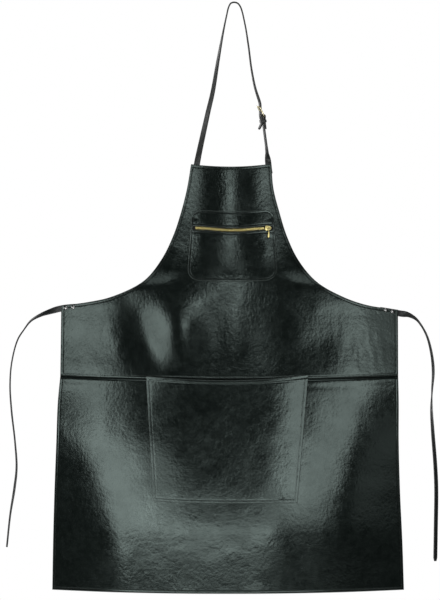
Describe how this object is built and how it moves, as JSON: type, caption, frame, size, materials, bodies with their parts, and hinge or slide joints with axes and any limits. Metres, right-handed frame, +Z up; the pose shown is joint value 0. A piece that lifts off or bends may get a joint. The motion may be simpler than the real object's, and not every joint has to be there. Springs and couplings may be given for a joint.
{
  "type": "leather apron",
  "caption": "Work apron of dark leather with a zipped chest pocket, an open waist pocket, a buckled neck strap and riveted waist ties, hung from its strap.",
  "frame": {"origin": "underside of the neck strap's peak, where a hook carries the apron", "axes": "+Z up, the front faces -Y, +X to the viewer's right"},
  "size_m": [0.8683, 0.1073, 1.1838],
  "materials": {
    "body_leather": "glossy, fine grain",
    "strap_leather": "semi-gloss",
    "zip_tape": "woven",
    "zip_brass": "polished",
    "buckle_gold": "bright plated",
    "rivet_black": "gloss black"
  },
  "bodies": {
    "apron": {"bib_panel": "body_leather", "skirt_panel": "body_leather", "waist_pocket": "body_leather", "chest_pocket": "body_leather", "zip_tape": "zip_tape", "zip_teeth": "zip_brass", "zip_slider": "zip_brass", "neck_strap_long": "strap_leather", "neck_strap_short": "strap_leather", "buckle_frame": "buckle_gold", "buckle_prong": "buckle_gold", "strap_keeper": "strap_leather", "waist_tie_left": "strap_leather", "waist_tie_right": "strap_leather", "rivet_left_outer": "rivet_black", "rivet_left_inner": "rivet_black", "rivet_right_inner": "rivet_black", "rivet_right_outer": "rivet_black"},
    "pull": {"zip_pull": "zip_brass"}
  },
  "joints": [
    {"name": "zip_pull_swing", "type": "hinge", "parent": "apron", "child": "pull", "pos_m": [0.06944, -0.00451, -0.45013], "axis": [-0.9703, -0.2419, 0], "range_deg": [0, 165]}
  ]
}
